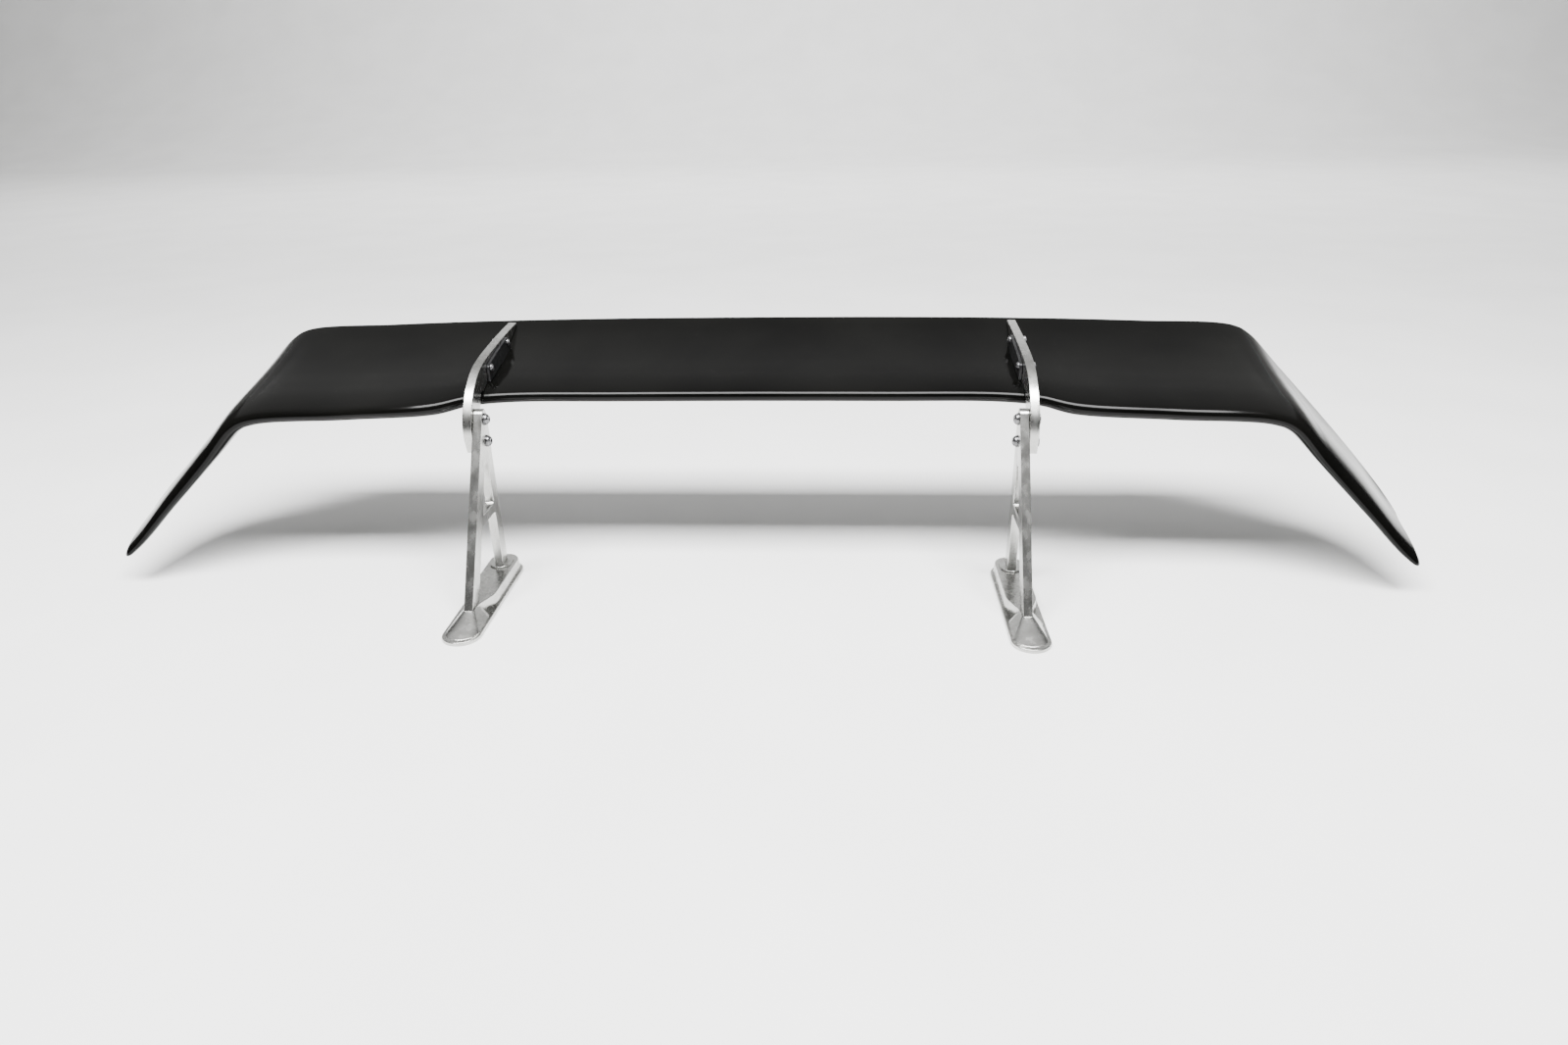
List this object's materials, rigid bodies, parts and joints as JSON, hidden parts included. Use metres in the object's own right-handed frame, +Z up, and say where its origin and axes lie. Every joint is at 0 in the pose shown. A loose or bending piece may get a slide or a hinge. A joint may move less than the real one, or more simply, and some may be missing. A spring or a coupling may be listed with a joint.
{
  "type": "racing rear wing",
  "caption": "Gloss black swan-neck racing rear wing with drooped winglets, on two bare aluminium uprights with streamlined feet.",
  "frame": {"origin": "middle of the whole wing's bounding box seen from above, at the height of the undersides of the feet", "axes": "+X towards the car's left along the span, +Y towards the car's rear, +Z up"},
  "size_m": [1.7806, 0.4298, 0.3174],
  "materials": {
    "gloss_black": "gloss clear coat over black",
    "machined_aluminium": "satin machined",
    "black_anodised": "satin black anodised",
    "fastener_steel": "satin dark",
    "core_foam": "matte"
  },
  "bodies": {
    "stands": {"foot_left": "machined_aluminium", "foot_right": "machined_aluminium", "upright_left": "machined_aluminium", "upright_right": "machined_aluminium", "foot_screw_front_left": "fastener_steel", "foot_screw_front_right": "fastener_steel", "foot_screw_rear_left": "fastener_steel", "foot_screw_rear_right": "fastener_steel", "lap_bolt_upper_left": "fastener_steel", "lap_bolt_upper_right": "fastener_steel", "lap_washer_upper_left": "fastener_steel", "lap_washer_upper_right": "fastener_steel", "lap_nut_upper_left": "fastener_steel", "lap_nut_upper_right": "fastener_steel", "lap_bolt_lower_left": "fastener_steel", "lap_bolt_lower_right": "fastener_steel", "lap_washer_lower_left": "fastener_steel", "lap_washer_lower_right": "fastener_steel", "lap_nut_lower_left": "fastener_steel", "lap_nut_lower_right": "fastener_steel"},
    "wing": {"upper_skin": "gloss_black", "lower_skin": "gloss_black", "main_spar": "core_foam", "rib_inner_left": "core_foam", "rib_inner_right": "core_foam", "rib_outer_left": "core_foam", "rib_outer_right": "core_foam", "rib_kink_left": "core_foam", "rib_kink_right": "core_foam", "winglet_core_left": "core_foam", "winglet_core_right": "core_foam", "mount_insert_left": "machined_aluminium", "mount_insert_right": "machined_aluminium", "wing_bracket_left": "black_anodised", "wing_bracket_right": "black_anodised", "neck_left": "machined_aluminium", "neck_right": "machined_aluminium", "neck_bolt_front_left": "fastener_steel", "neck_bolt_front_right": "fastener_steel", "neck_nut_front_left": "fastener_steel", "neck_nut_front_right": "fastener_steel", "neck_bolt_rear_left": "fastener_steel", "neck_bolt_rear_right": "fastener_steel", "neck_nut_rear_left": "fastener_steel", "neck_nut_rear_right": "fastener_steel"}
  },
  "joints": [
    {"name": "angle_of_attack", "type": "hinge", "parent": "stands", "child": "wing", "pos_m": [0, -0.01789, 0.234], "axis": [1, 0, 0], "range_deg": [-6, 6]}
  ]
}
